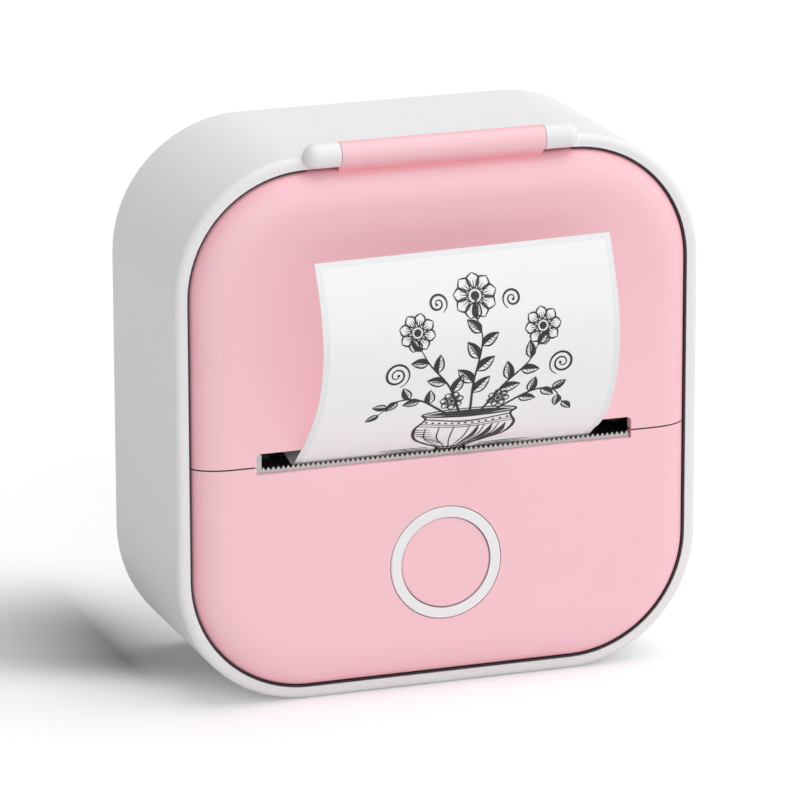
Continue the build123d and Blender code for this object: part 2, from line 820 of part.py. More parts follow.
def main_board():
    """Circuit board behind the battery, cut round the casing's bosses, its right edge at the port."""
    board = Pos(0, (board_low + board_high) / 2) * Rectangle(board_width, board_high - board_low)
    board += Pos(board_width / 2 + board_tab / 2, socket_height) * Rectangle(board_tab, socket_width + 4.0)
    for x in (-boss_x, boss_x):
        board -= Pos(x, boss_inset) * Circle(boss_radius + 0.4)
    for x, z in board_posts:
        board -= Pos(x, z) * Circle(board_screw_radius + screw_fit)
    board &= outline(wall + chassis_gap)
    return slab(board, board_front, board_front + board_thickness)


def usb_socket():
    """Open-ended steel shell with a tongue, its mouth at the casing's right side."""
    end = shell_width / 2 - socket_setback
    start = end - socket_length
    y = board_front - socket_thickness / 2
    body = RectangleRounded(socket_thickness, socket_width, 1.4)
    hollow = RectangleRounded(socket_thickness - 2 * socket_wall, socket_width - 2 * socket_wall, 1.1)
    shell = along_x(Pos(y, socket_height) * body, start, end)
    shell -= along_x(Pos(y, socket_height) * hollow, start + 4 * socket_wall, end)
    tongue = Pos(y, socket_height) * Rectangle(tongue_thickness, tongue_tall)
    return shell + along_x(tongue, start + socket_wall, end - socket_setback)


def chip(x, z, width, tall, thick):
    return block(x - width / 2, x + width / 2, board_front - thick, board_front, z - tall / 2, z + tall / 2)


def flex_cable():
    """Flat cable from the print head's foot, under the nip, over the battery and down to its socket."""
    y0 = (head_front + head_back) / 2
    low = head_top - head_height - 0.2
    corners = [(y0, low), (y0, flex_shelf), (flex_y, flex_shelf), (flex_y, flex_end)]
    run = FilletPolyline(*corners, radius=flex_bend)
    return along_x(trace(run, line_width=flex_thickness), -flex_width / 2, flex_width / 2)


def button_board():
    board = Pos(0, button_height) * RectangleRounded(button_board_width, button_board_tall, 1.5)
    return slab(board, button_board_front, button_board_front + button_board_thickness)


def write(name, shape):
    shape.label = name
    export_step(shape, "parts/" + name + ".step")


os.makedirs("parts", exist_ok=True)
write("body_shell", casing())
write("front_panel", lower_panel())
write("paper_cover", cover())
write("cover_liner", liner())
write("hinge_pin", rod(-pin_end, pin_end, pin_radius, hinge_y, hinge_z))
write("light_ring", light_ring())
write("power_button", power_button())
write("tear_blade", tear_blade())
write("chassis", chassis())
chassis_screw_set = [screw(deck_front, x, z, screw_radius, screw_length) for x, z in screw_places]
write("chassis_screws", Compound(chassis_screw_set))
write("platen_roller", platen_roller())
write("platen_shaft", platen_shaft())
write("platen_bushes", platen_bushes())
write("platen_gear", platen_gear())
write("print_head", print_head())
write("heater_line", heater_line())
write("head_plate", head_plate())
write("head_springs", Compound([coil(-spring_spacing / 2), coil(spring_spacing / 2)]))
write("head_cable", flex_cable())
write("cable_socket", chip(0, flex_end - 2.0, flex_width + 3.0, 4.0, 3.0))
write("gear_plate", gear_plate())
write("reduction_gear", reduction_gear())
write("idler_post", idler_post())
write("drive_motor", drive_motor())
write("motor_shaft", motor_shaft())
write("motor_pinion", motor_pinion())
write("motor_screws", Compound([side_screw(plate_out, y, z, motor_screw_length) for y, z in motor_ears]))
write("plate_screws", Compound([side_screw(plate_out, y, z, plate_screw_length) for y, z in plate_bosses]))
roll = rod(-paper_width / 2, paper_width / 2, roll_radius, well_y, roll_z)
write("paper_roll", roll - rod(-paper_width / 2, paper_width / 2, core_radius, well_y, roll_z))
core = rod(-core_half, core_half, core_radius, well_y, roll_z)
write("roll_core", core - rod(-core_half, core_half, core_bore, well_y, roll_z))
write("paper_strip", paper_strip())
sensor = Pos(0, sensor_y) * Rectangle(2 * sensor_half, sensor_depth)
write("paper_sensor", extrude(Plane.XY.offset(floor_height - chassis_wall) * sensor, chassis_wall))
write("main_board", main_board())
write("processor", chip(-chip_x, chip_row, 7.0, 7.0, 0.9))
write("memory_chip", chip(-chip_x, chip_row - chip_step, 5.0, 4.0, 0.8))
write("motor_driver", chip(chip_x, chip_row, 5.0, 5.0, 0.9))
write("usb_socket", usb_socket())
board_screw_set = [screw(board_front, x, z, board_screw_radius, board_screw_length) for x, z in board_posts]
write("board_screws", Compound(board_screw_set))
battery = slab(Pos(0, battery_mid) * Rectangle(battery_width, battery_tall), battery_front, battery_back)
write("battery", fillet(battery.edges().filter_by(Axis.Z), 2.0))
write("battery_pad", slab(Pos(0, battery_mid) * Rectangle(foam_width, foam_tall), deck_back, battery_front))
write("button_board", button_board())
switch = slab(Pos(0, button_height) * Rectangle(switch_size, switch_size), switch_front, button_board_front)
switch -= peg(switch_front, switch_front + button_travel + 0.2, stem_radius + 0.15, 0, button_height)
write("power_switch", switch)
write("switch_plunger", peg(plunger_front, switch_front + 0.1, stem_radius, 0, button_height))
lights = [
    slab(Pos(x, z) * Rectangle(1.6, 1.0), button_board_front - 0.7, button_board_front)
    for x, z in light_places
]
write("ring_lights", Compound(lights))
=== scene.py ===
import json
from bisect import bisect
from math import atan2, cos, degrees, pi, radians, sin, tan

import bmesh
import bpy
from mathutils import Matrix, Quaternion, Vector


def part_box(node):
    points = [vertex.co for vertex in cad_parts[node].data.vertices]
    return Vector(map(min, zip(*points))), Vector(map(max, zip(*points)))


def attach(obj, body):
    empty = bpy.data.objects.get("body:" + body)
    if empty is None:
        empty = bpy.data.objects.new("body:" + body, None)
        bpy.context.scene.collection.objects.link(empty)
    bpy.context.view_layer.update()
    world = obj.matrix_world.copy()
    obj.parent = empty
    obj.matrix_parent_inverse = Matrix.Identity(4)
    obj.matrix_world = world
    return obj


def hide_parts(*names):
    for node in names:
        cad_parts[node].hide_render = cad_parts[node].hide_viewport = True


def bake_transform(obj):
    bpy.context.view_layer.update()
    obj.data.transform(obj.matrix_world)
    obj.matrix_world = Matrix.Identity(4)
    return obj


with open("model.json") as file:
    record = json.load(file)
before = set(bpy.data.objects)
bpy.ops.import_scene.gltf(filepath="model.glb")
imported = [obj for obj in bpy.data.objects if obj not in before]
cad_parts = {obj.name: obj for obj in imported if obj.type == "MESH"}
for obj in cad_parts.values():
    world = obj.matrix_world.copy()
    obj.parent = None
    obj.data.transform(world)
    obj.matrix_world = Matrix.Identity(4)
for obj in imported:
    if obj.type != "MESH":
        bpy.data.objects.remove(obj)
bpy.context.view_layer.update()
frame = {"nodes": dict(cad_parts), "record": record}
mm = 0.001
print("frame loaded")


# a socket that takes part in sums, so that a pattern reads as a formula
class Wire:
    def __init__(self, finish, socket):
        self.finish = finish
        self.socket = socket

    def maths(self, operation, *values):
        return self.finish.add("ShaderNodeMath", {"operation": operation}, dict(enumerate(values)))

    def __add__(self, other):
        return self.maths("ADD", self, other)

    def __radd__(self, other):
        return self.maths("ADD", other, self)

    def __sub__(self, other):
        return self.maths("SUBTRACT", self, other)

    def __rsub__(self, other):
        return self.maths("SUBTRACT", other, self)

    def __mul__(self, other):
        return self.maths("MULTIPLY", self, other)

    def __rmul__(self, other):
        return self.maths("MULTIPLY", other, self)

    def __truediv__(self, other):
        return self.maths("DIVIDE", self, other)

    def __rtruediv__(self, other):
        return self.maths("DIVIDE", other, self)

    def __pow__(self, other):
        return self.maths("POWER", self, other)

    def __gt__(self, other):
        return self.maths("GREATER_THAN", self, other)

    def __lt__(self, other):
        return self.maths("LESS_THAN", self, other)


# one material: a Principled shader and the nodes that vary it
class Finish:
    def __init__(self, name, colour, roughness, metallic=0.0, **constants):
        self.material = bpy.data.materials.new(name)
        self.material.use_nodes = True
        self.tree = self.material.node_tree
        self.shader = self.tree.nodes["Principled BSDF"]
        self.colour = (*colour, 1.0)
        self.put("Base Color", self.colour)
        self.put("Roughness", roughness)
        self.put("Metallic", metallic)
        for socket, value in constants.items():
            self.put(socket.replace("_", " "), value)

    def put(self, socket, value):
        target = self.shader.inputs[socket]
        if isinstance(value, Wire):
            self.tree.links.new(value.socket, target)
        else:
            target.default_value = value

    # any node: its settings go first, then the values or links of its sockets
    def add(self, kind, settings=None, values=None, out=0):
        node = self.tree.nodes.new(kind)
        for name, value in (settings or {}).items():
            if name == "stops":
                ramp = node.color_ramp.elements
                while len(ramp) < len(value):
                    ramp.new(0.5)
                for stop, (place, colour) in zip(ramp, value):
                    stop.position = place
                    stop.color = (*colour, 1.0)
            else:
                setattr(node, name, value)
        for name, value in (values or {}).items():
            if isinstance(value, Wire):
                self.tree.links.new(value.socket, node.inputs[name])
            else:
                node.inputs[name].default_value = value
        return Wire(self, node.outputs[out])

    # the point on the object, in its own coordinates
    def spot(self):
        return self.add("ShaderNodeTexCoord", out=3)

    def coordinate(self, axis):
        return self.add("ShaderNodeSeparateXYZ", {}, {"Vector": self.spot()}, out="xyz".index(axis))

    def place(self, scale=(1, 1, 1), shift=(0, 0, 0), turn=(0, 0, 0)):
        values = {"Vector": self.spot(), "Location": shift, "Rotation": turn, "Scale": scale}
        return self.add("ShaderNodeMapping", {}, values)

    def noise(self, where, scale, detail=2.0, roughness=0.5):
        values = {"Vector": where, "Scale": scale, "Detail": detail, "Roughness": roughness}
        return self.add("ShaderNodeTexNoise", {}, values)

    # a colour that goes from one tone or colour pattern to another with a mask
    def tone(self, mask, one, other):
        ends = [end if isinstance(end, Wire) else (*end, 1.0) for end in (one, other)]
        return self.add("ShaderNodeMix", {"data_type": "RGBA"}, {0: mask, 6: ends[0], 7: ends[1]}, out=2)

    # a colour that a mask makes darker and lighter by a share
    def mottle(self, mask, colour, spread):
        self.put("Base Color", self.tone(mask, scaled(colour, 1 - spread), scaled(colour, 1 + spread)))

    def bump(self, height, depth, strength=1.0):
        values = {"Height": height, "Distance": depth, "Strength": strength}
        self.put("Normal", self.add("ShaderNodeBump", {}, values))


def scaled(colour, factor):
    return tuple(min(1.0, c * factor) for c in colour)


cloudScale = 90.0


# moulded plastic: spark-eroded grain, soft mottling and uneven gloss
def plastic(name, look):
    coat = look.get("coat", 0.0)
    finish = Finish(name, look["colour"], look["roughness"], Coat_Weight=coat, Coat_Roughness=0.25)
    where = finish.place()
    cloud = finish.noise(where, cloudScale, 3.0)
    grain = finish.noise(where, look["grain"], 3.0, 0.6)
    finish.mottle(cloud * 0.7 + grain * 0.3, look["colour"], look.get("spread", 0.03))
    finish.put("Roughness", look["roughness"] - 0.05 + cloud * 0.06 + grain * 0.04)
    finish.bump(grain, look["depth"], look.get("strength", 0.5))
    return finish


# metal with the marks of brushing, drawing or turning running along its least scaled axis
def metal(name, look):
    finish = Finish(name, look["colour"], look["roughness"], 1.0)
    streak = finish.noise(finish.place(look.get("along", (1, 30, 30))), 120.0, 4.0, 0.65)
    smudge = finish.noise(finish.place(), 160.0, 2.0)
    finish.mottle(streak, look["colour"], look.get("spread", 0.10))
    finish.put("Roughness", look["roughness"] - 0.08 + streak * 0.1 + smudge * 0.08)
    finish.bump(streak, 0.00002, 0.5)
    return finish


# paper and card: fibre mottling and a slight tooth
def paperStock(name, look):
    finish = Finish(name, look["colour"], look["roughness"])
    fibre = finish.noise(finish.place((1, 1, 3)), look["fibre"], 6.0, 0.7)
    cloud = finish.noise(finish.place(), 220.0, 2.0)
    finish.mottle(fibre * 0.6 + cloud * 0.4, look["colour"], look["spread"])
    finish.put("Roughness", look["roughness"] - 0.05 + fibre * 0.1)
    finish.bump(fibre, look["depth"], 0.4)
    return finish


plasticLooks = {
    "white_shell": {
        "colour": (0.82, 0.82, 0.83), "roughness": 0.42,
        "grain": 5200.0, "depth": 0.000012,
    },
    "pink_panel": {
        "colour": (0.945, 0.572, 0.625), "roughness": 0.44, "grain": 5200.0,
        "depth": 0.000012, "spread": 0.015,
    },
    "white_ring": {
        "colour": (0.86, 0.86, 0.87), "roughness": 0.30, "grain": 4000.0,
        "depth": 0.000006, "coat": 0.3,
    },
    "black_plastic": {
        "colour": (0.012, 0.012, 0.013), "roughness": 0.55, "grain": 4200.0,
        "depth": 0.00002, "spread": 0.2,
    },
    "bush_plastic": {
        "colour": (0.50, 0.50, 0.49), "roughness": 0.45,
        "grain": 4000.0, "depth": 0.000008,
    },
    "gear_plastic": {
        "colour": (0.75, 0.74, 0.70), "roughness": 0.38,
        "grain": 3000.0, "depth": 0.000008,
    },
    "cream_plastic": {
        "colour": (0.78, 0.74, 0.62), "roughness": 0.50,
        "grain": 4000.0, "depth": 0.00001,
    },
    "cable_film": {
        "colour": (0.55, 0.28, 0.06), "roughness": 0.28, "grain": 1500.0,
        "depth": 0.000005, "coat": 0.5,
    },
    "chip_black": {"colour": (0.02, 0.02, 0.02), "roughness": 0.6, "grain": 9000.0, "depth": 0.00001},
    "platen_rubber": {
        "colour": (0.03, 0.03, 0.032), "roughness": 0.75, "grain": 9000.0,
        "depth": 0.00002, "spread": 0.25,
    },
    "foam": {
        "colour": (0.05, 0.05, 0.05), "roughness": 0.95, "grain": 2600.0,
        "depth": 0.00012, "strength": 1.0, "spread": 0.4,
    },
    "ceramic": {"colour": (0.75, 0.72, 0.66), "roughness": 0.35, "grain": 6000.0, "depth": 0.000006},
    "glaze": {
        "colour": (0.10, 0.07, 0.06), "roughness": 0.12, "grain": 2500.0,
        "depth": 0.000003, "coat": 1.0,
    },
    "light_chip": {"colour": (0.85, 0.80, 0.45), "roughness": 0.35, "grain": 6000.0, "depth": 0.00001},
    "battery_wrap": {
        "colour": (0.06, 0.12, 0.35), "roughness": 0.28, "grain": 700.0,
        "depth": 0.00004, "coat": 0.4,
    },
}
metalLooks = {
    "steel": {"colour": (0.56, 0.56, 0.57), "roughness": 0.30},
    "screw_steel": {"colour": (0.42, 0.42, 0.43), "roughness": 0.38, "along": (8, 8, 8)},
    "blade_steel": {
        "colour": (0.46, 0.43, 0.43), "roughness": 0.34,
        "along": (1, 12, 40), "spread": 0.14,
    },
    "aluminium": {"colour": (0.70, 0.70, 0.71), "roughness": 0.36},
    "motor_can": {"colour": (0.50, 0.50, 0.51), "roughness": 0.26, "along": (2, 14, 14)},
    "brass": {"colour": (0.70, 0.50, 0.22), "roughness": 0.28, "along": (20, 2, 2)},
}
paperLooks = {
    "label_paper": {
        "colour": (0.88, 0.88, 0.89), "roughness": 0.62, "fibre": 2400.0,
        "depth": 0.000012, "spread": 0.012,
    },
    "backing": {
        "colour": (0.80, 0.82, 0.82), "roughness": 0.5, "fibre": 1800.0,
        "depth": 0.00001, "spread": 0.02,
    },
    "cardboard": {
        "colour": (0.40, 0.29, 0.18), "roughness": 0.85, "fibre": 900.0,
        "depth": 0.00006, "spread": 0.18,
    },
}


# the panels' pink is painted deeper where the crown falls away to the edge: painted shade on the crown's
# edges
def pinkPanelEdgeShade():
    look = {**plasticLooks["pink_panel"], "deep": (0.93, 0.43, 0.485), "front": -0.0199, "edge": -0.0172}
    finish = plastic("pink_panel", look)
    reach = {"Value": finish.coordinate("y"), "From Min": look["front"], "From Max": look["edge"]}
    edge = finish.add("ShaderNodeMapRange", {"interpolation_type": "SMOOTHSTEP"}, reach)
    cloud = finish.noise(finish.place(), cloudScale, 3.0)
    # painted shade: the deeper pink towards the crown's edge stands in for the shade there
    finish.put("Base Color", finish.tone(edge * (0.9 + cloud * 0.2), look["colour"], look["deep"]))
    return finish


finishes = {name: plastic(name, look) for name, look in plasticLooks.items() if name != "pink_panel"}
finishes["pink_panel"] = pinkPanelEdgeShade()
finishes.update({name: metal(name, look) for name, look in metalLooks.items()})
finishes.update({name: paperStock(name, look) for name, look in paperLooks.items()})
print("finishes made")


# green solder mask over copper tracks, with tinned pads
def circuitBoard():
    look = {
        "mask": (0.015, 0.15, 0.06),
        "track": (0.03, 0.24, 0.10),
        "pad": (0.55, 0.52, 0.42),
        "pitch": 420.0,
        "padPitch": 330.0,
        "padSize": 0.16,
    }
    finish = Finish("circuit_board", look["mask"], 0.32, Coat_Weight=0.3, Coat_Roughness=0.1)
    where = finish.place()
    pattern = {"offset": 0.37, "squash": 0.6, "squash_frequency": 3}
    layout = {
        "Vector": finish.place(turn=(pi / 2, 0, 0)),
        "Scale": look["pitch"],
        "Mortar Size": 0.06,
        "Mortar Smooth": 0.1,
        "Brick Width": 0.9,
        "Row Height": 0.4,
    }
    rows = finish.add("ShaderNodeTexBrick", pattern, layout, out=1)
    cells = {"Vector": where, "Scale": look["padPitch"], "Randomness": 0.6}
    pads = finish.add("ShaderNodeTexVoronoi", {"feature": "F1"}, cells) < look["padSize"]
    tracks = finish.tone(rows, look["mask"], look["track"])
    finish.put("Base Color", finish.tone(pads, tracks, look["pad"]))
    finish.put("Metallic", pads * 0.9)
    finish.put("Roughness", 0.3 + pads * 0.1 + finish.noise(where, 900.0) * 0.06)
    finish.bump(rows * 0.5 + pads, 0.00003)
    return finish


# thermal roll: its side faces show the winding as fine rings round the core
def rollPaper():
    low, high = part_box("paper_roll")
    centre = (low + high) / 2
    look = {"colour": (0.86, 0.865, 0.87), "shade": (0.66, 0.67, 0.69), "layers": 5200.0}
    finish = Finish("roll_paper", look["colour"], 0.62)
    across = finish.coordinate("y") - centre.y
    up = finish.coordinate("z") - centre.z
    reach = (across * across + up * up) ** 0.5
    rings = reach.maths("SINE", reach * look["layers"] * pi)
    cloud = finish.noise(finish.place((0.2, 1, 1)), 700.0, 3.0)
    mask = rings * 0.3 + 0.5 + cloud * 0.2
    finish.put("Base Color", finish.tone(mask, look["shade"], look["colour"]))
    finish.put("Roughness", 0.58 + cloud * 0.1)
    finish.bump(rings, 0.00002, 0.6)
    return finish


# printed black: a little uneven in density and gloss
def inkFinish():
    look = {"dark": (0.004, 0.004, 0.005), "light": (0.016, 0.015, 0.016), "speckle": 3800.0}
    finish = Finish("ink", look["dark"], 0.5)
    speckle = finish.noise(finish.place(), look["speckle"], 4.0, 0.7)
    finish.put("Base Color", finish.tone(speckle, look["dark"], look["light"]))
    finish.put("Roughness", 0.42 + speckle * 0.2)
    return finish


finishes["circuit_board"] = circuitBoard()
finishes["roll_paper"] = rollPaper()
finishes["ink"] = inkFinish()
print("board, roll and ink made")


def dress(made, finish):
    made.data.materials.clear()
    made.data.materials.append(finishes[finish].material)


slotOf = {part["node"]: part["material_slot"] for part in frame["record"]["subparts"]}
for name, node in frame["nodes"].items():
    finish = "roll_paper" if name == "paper_roll" else slotOf[name]
    for slot in node.material_slots:
        slot.material = finishes[finish].material
print("frame dressed")


sharpFrom = radians(40)


# a new object from a bmesh, at the origin, with its place in its mesh
def piece(name, mesh, finish, body):
    data = bpy.data.meshes.new(name)
    mesh.to_mesh(data)
    mesh.free()
    data.shade_smooth()
    data.set_sharp_from_angle(angle=sharpFrom)
    made = bpy.data.objects.new(name, data)
    bpy.context.scene.collection.objects.link(made)
    dress(made, finish)
    if body:
        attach(made, body)
    return made


# gives a flat piece its thickness, as part of its own mesh
def thicken(made, thickness):
    wall = made.modifiers.new("wall", "SOLIDIFY")
    wall.thickness = thickness * mm
    wall.offset = 0.0
    bpy.context.view_layer.update()
    graph = bpy.context.evaluated_depsgraph_get()
    mesh = bpy.data.meshes.new_from_object(made.evaluated_get(graph))
    made.modifiers.clear()
    made.data = mesh
    mesh.set_sharp_from_angle(angle=sharpFrom)


# The label strip: one web from under the roll, over the chassis nose, round the platen and out of the slot,
# where its two side edges curl up by different amounts. Points are Y and Z in millimetres.
strip = {
    "width": 50.0,
    "thickness": 0.09,
    "across": 24,
    "rollFloor": (-0.6, 51.15),
    "nose": (-6.85, 49.6),
    "noseTurn": 1.55,
    "platen": (-12.5, 44.7),
    "wrap": 4.1,
    "drop": (48.8, 48.0, 47.2, 46.4, 45.6),
    "dip": 13.4,
    "rise": 40.0,
    "bend": 1.0,
    "bendY": -18.2,
    "left": [(-2.5, 2.15), (-5.8, 5.0), (-10.65, 10.25), (-13.6, 14.9), (-14.95, 19.15), (-15.35, 23.1),
             (-14.7, 26.8), (-13.6, 30.35), (-11.15, 35.5)],
    "right": [(-2.5, 1.85), (-4.9, 3.3), (-7.95, 5.95), (-9.8, 8.4), (-12.2, 13.0), (-13.3, 17.6),
              (-13.25, 21.5), (-12.7, 24.9), (-10.95, 30.3), (-8.55, 35.6)],
}


def arc(centre, radius, start, end, steps):
    turns = [radians(start + (end - start) * i / steps) for i in range(steps + 1)]
    return [Vector((centre[0] + radius * cos(a), centre[1] + radius * sin(a))) for a in turns]


# a smooth line through points, by Catmull and Rom's rule
def smoothLine(points, steps):
    ends = [2 * points[0] - points[1], *points, 2 * points[-1] - points[-2]]
    line = []
    for a, b, c, d in zip(ends, ends[1:], ends[2:], ends[3:]):
        slope, bend, twist = c - a, 2 * a - 5 * b + 4 * c - d, 3 * b - a - 3 * c + d
        for i in range(steps):
            t = i / steps
            line.append(0.5 * (2 * b + slope * t + bend * t**2 + twist * t**3))
    line.append(points[-1])
    return line


# evens a line out into equal steps
def evened(line, count):
    lengths = [0.0]
    for a, b in zip(line, line[1:]):
        lengths.append(lengths[-1] + (b - a).length)
    even = []
    for i in range(count + 1):
        want = lengths[-1] * i / count
        k = min(max(bisect(lengths, want) - 1, 0), len(line) - 2)
        even.append(line[k].lerp(line[k + 1], (want - lengths[k]) / (lengths[k + 1] - lengths[k])))
    return even


# a step of some length in a direction given in degrees
def polar(length, turn):
    return Vector((length * cos(radians(turn)), length * sin(radians(turn))))


# the straight fall from the platen, and the bend between it and the rise out of the slot
last = Vector(strip["platen"]) + polar(strip["wrap"], -90 + strip["dip"])
falling = -polar(1.0, strip["dip"])
rising = polar(1.0, 180 - strip["rise"])
trim = strip["bend"] * tan(radians(strip["dip"] + strip["rise"]) / 2)
foot = last + falling * ((last.x - strip["bendY"]) / cos(radians(strip["dip"])) - trim)
bendCentre = (foot.x + strip["bend"] * falling.y, foot.y - strip["bend"] * falling.x)
exitPoint = foot + trim * (falling + rising)
rollFloor = Vector(strip["rollFloor"])
noseTop = Vector((strip["nose"][0], rollFloor.y))
inside = [rollFloor.lerp(noseTop, i / 5) for i in range(5)]
inside += arc(strip["nose"], strip["noseTurn"], 90, 180, 8)
inside += [Vector((strip["platen"][0] + strip["wrap"], z)) for z in strip["drop"]]
inside += arc(strip["platen"], strip["wrap"], 0, -90 + strip["dip"], 14)
inside += [last.lerp(foot, i / 6) for i in range(1, 6)]
inside += arc(bendCentre, strip["bend"], strip["dip"] - 90, -90 - strip["rise"], 8)[:-1]
outside = {
    side: evened(smoothLine([exitPoint] + [exitPoint + Vector(p) for p in strip[side]], 8), 72)
    for side in ("left", "right")
}
# each station has its left and its right edge, and a length run so far
edges = [(p, p) for p in inside] + list(zip(outside["left"], outside["right"]))
run = [0.0]
for (a, b), (c, d) in zip(edges, edges[1:]):
    run.append(run[-1] + ((c - a).length + (d - b).length) / 2)
exitRun = run[len(inside)]
outerLength = run[-1] - exitRun


# a point on the strip: u across from the middle, v along from the slot, lifted off its printed face
def onStrip(u, v, lift=0.0):
    want = min(max(v + exitRun, 0.0), run[-1])
    k = min(max(bisect(run, want) - 1, 0), len(edges) - 2)
    t = (want - run[k]) / (run[k + 1] - run[k])
    share = u / strip["width"] + 0.5
    near, far = (edges[i][0].lerp(edges[i][1], share) for i in (k, k + 1))
    spot = near.lerp(far, t)
    ahead = (far - near).normalized()
    slant = (edges[k][1] - edges[k][0]).lerp(edges[k + 1][1] - edges[k + 1][0], t) / strip["width"]
    normal = Vector((1, slant.x, slant.y)).cross(Vector((0, ahead.x, ahead.y))).normalized()
    return (Vector((u, spot.x, spot.y)) + normal * lift) * mm


def sheetGrid(halfWidth, across, stations, lift):
    mesh = bmesh.new()
    bmesh.ops.create_grid(mesh, x_segments=across, y_segments=len(stations) - 1, size=1.0)
    for vert in mesh.verts:
        station = round((vert.co.y + 1) / 2 * (len(stations) - 1))
        vert.co = onStrip(vert.co.x * halfWidth, stations[station], lift)
    bmesh.ops.recalc_face_normals(mesh, faces=mesh.faces)
    return mesh


def labelStrip():
    web = sheetGrid(strip["width"] / 2, strip["across"], [r - exitRun for r in run], 0.0)
    made = piece("label_strip", web, "backing", None)
    thicken(made, strip["thickness"])
    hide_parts("paper_strip")
    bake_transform(made)
    return made


def labelFace():
    look = {"margin": 1.0, "thickness": 0.05, "inside": -2.0, "steps": 84}
    top = outerLength - look["margin"]
    steps = look["steps"]
    stations = [look["inside"] + (top - look["inside"]) * i / steps for i in range(steps + 1)]
    lift = strip["thickness"] / 2 + look["thickness"] / 2
    face = sheetGrid(strip["width"] / 2 - look["margin"], strip["across"], stations, lift)
    made = piece("label_face", face, "label_paper", "cover")
    thicken(made, look["thickness"])
    return made


# the photograph's label throws next to no shadow on the panel
for sheet in (labelStrip(), labelFace()):
    sheet.visible_shadow = False
print("label strip made, outer length", round(outerLength, 1), "mm")


# a value along a list, at a share of its length
def along(values, share):
    place = share * (len(values) - 1)
    k = min(int(place), len(values) - 2)
    return values[k] + (values[k + 1] - values[k]) * (place - k)


# The print on the label: flowers and sprigs in a fluted urn, as ink strokes. Points are u and v on the strip,
# in millimetres. Widths run along each stroke.
printing = {"step": 0.4, "lift": 0.125, "thickness": 0.01, "smooth": 8, "dotSides": 12}
ink = bmesh.new()


def stroke(points, widths, across=1):
    line = smoothLine([Vector(p) for p in points], printing["smooth"])
    length = sum((b - a).length for a, b in zip(line, line[1:]))
    count = max(4, round(length / printing["step"]))
    line = evened(line, count)
    made = bmesh.ops.create_grid(ink, x_segments=across, y_segments=count, size=1.0)
    for vert in made["verts"]:
        row = round((vert.co.y + 1) / 2 * count)
        heading = (line[min(row + 1, count)] - line[max(row - 1, 0)]).normalized()
        off = vert.co.x * along(widths, row / count) / 2
        spot = line[row] + Vector((heading.y, -heading.x)) * off
        vert.co = onStrip(spot.x, spot.y, printing["lift"])


def dot(centre, radius):
    made = bmesh.ops.create_circle(ink, cap_ends=True, segments=printing["dotSides"], radius=radius)
    for vert in made["verts"]:
        vert.co = onStrip(centre[0] + vert.co.x, centre[1] + vert.co.y, printing["lift"])


# points beside the line from a root to a tip: shares of its length, and shares of a step to the side
def beside(root, tip, side, shape):
    return [root.lerp(tip, far) + side * out for far, out in shape]


# a leaf: two edges, a midrib, one dark half and its veins
leafLook = {
    "edge": [(0.0, 0.0), (0.3, 1.0), (0.68, 0.8), (1.0, 0.0)],
    "edgeWidths": (0.12, 0.3, 0.26, 0.1),
    "rib": [(0.0, 0.0), (0.5, 0.1), (1.0, 0.0)],
    "ribWidths": (0.2, 0.16, 0.08),
    "dark": [(0.06, 0.0), (0.34, 0.5), (0.68, 0.4), (0.95, 0.0)],
    "veins": (0.32, 0.48, 0.64),
    "veinSteps": [(0.42, 62), (0.85, 50)],
    "veinWidths": (0.12, 0.09, 0.04),
}


def leaf(root, reach, turn, plump, shade):
    tip = root + polar(reach, turn)
    side = polar(plump, turn + 90)
    for hand in (-1, 1):
        stroke(beside(root, tip, side * hand, leafLook["edge"]), leafLook["edgeWidths"])
    stroke(beside(root, tip, side, leafLook["rib"]), leafLook["ribWidths"])
    darkWidths = (0.06, plump * 0.9, plump * 0.6, 0.04)
    stroke(beside(root, tip, side * shade, leafLook["dark"]), darkWidths, 2)
    for share in leafLook["veins"]:
        start = root.lerp(tip, share)
        steps = [polar(plump * far, turn - shade * lean) for far, lean in leafLook["veinSteps"]]
        stroke([start] + [start + step for step in steps], leafLook["veinWidths"])


# a stem with leaves in turn to its left and right, each smaller than the last, and one at its end
sprigLook = {"stemWidths": (0.46, 0.36, 0.28, 0.16), "lean": 46, "shrink": 0.22, "end": 0.8, "endPlump": 0.75}


def sprig(points, leaves, reach, plump):
    line = evened(smoothLine([Vector(p) for p in points], printing["smooth"]), leaves + 2)
    stroke(points, sprigLook["stemWidths"])
    for i in range(leaves):
        root = line[i + 2]
        ahead = root - line[i + 1]
        turn = degrees(atan2(ahead.y, ahead.x))
        hand = 1 if i % 2 else -1
        size = 1.0 - sprigLook["shrink"] * i / leaves
        leaf(root, reach * size, turn + hand * sprigLook["lean"], plump * size, -hand)
    leaf(line[-1], reach * sprigLook["end"], turn, plump * sprigLook["endPlump"], 1)


# a flower: pointed petals with hatching, round a dark eye with a ring of dots
flowerLook = {
    "eye": 0.2,
    "ring": 0.3,
    "ringDot": 0.11,
    "plump": 0.27,
    "petal": [(0.0, 0.0), (0.35, 0.8), (0.7, 1.0), (1.0, 0.0)],
    "petalWidths": (0.14, 0.26, 0.3, 0.12),
    "hatches": (-0.45, 0.0, 0.45),
    "hatch": [(0.0, 0.5), (0.3, 1.0), (0.55, 1.0)],
    "hatchWidths": (0.2, 0.14, 0.04),
}


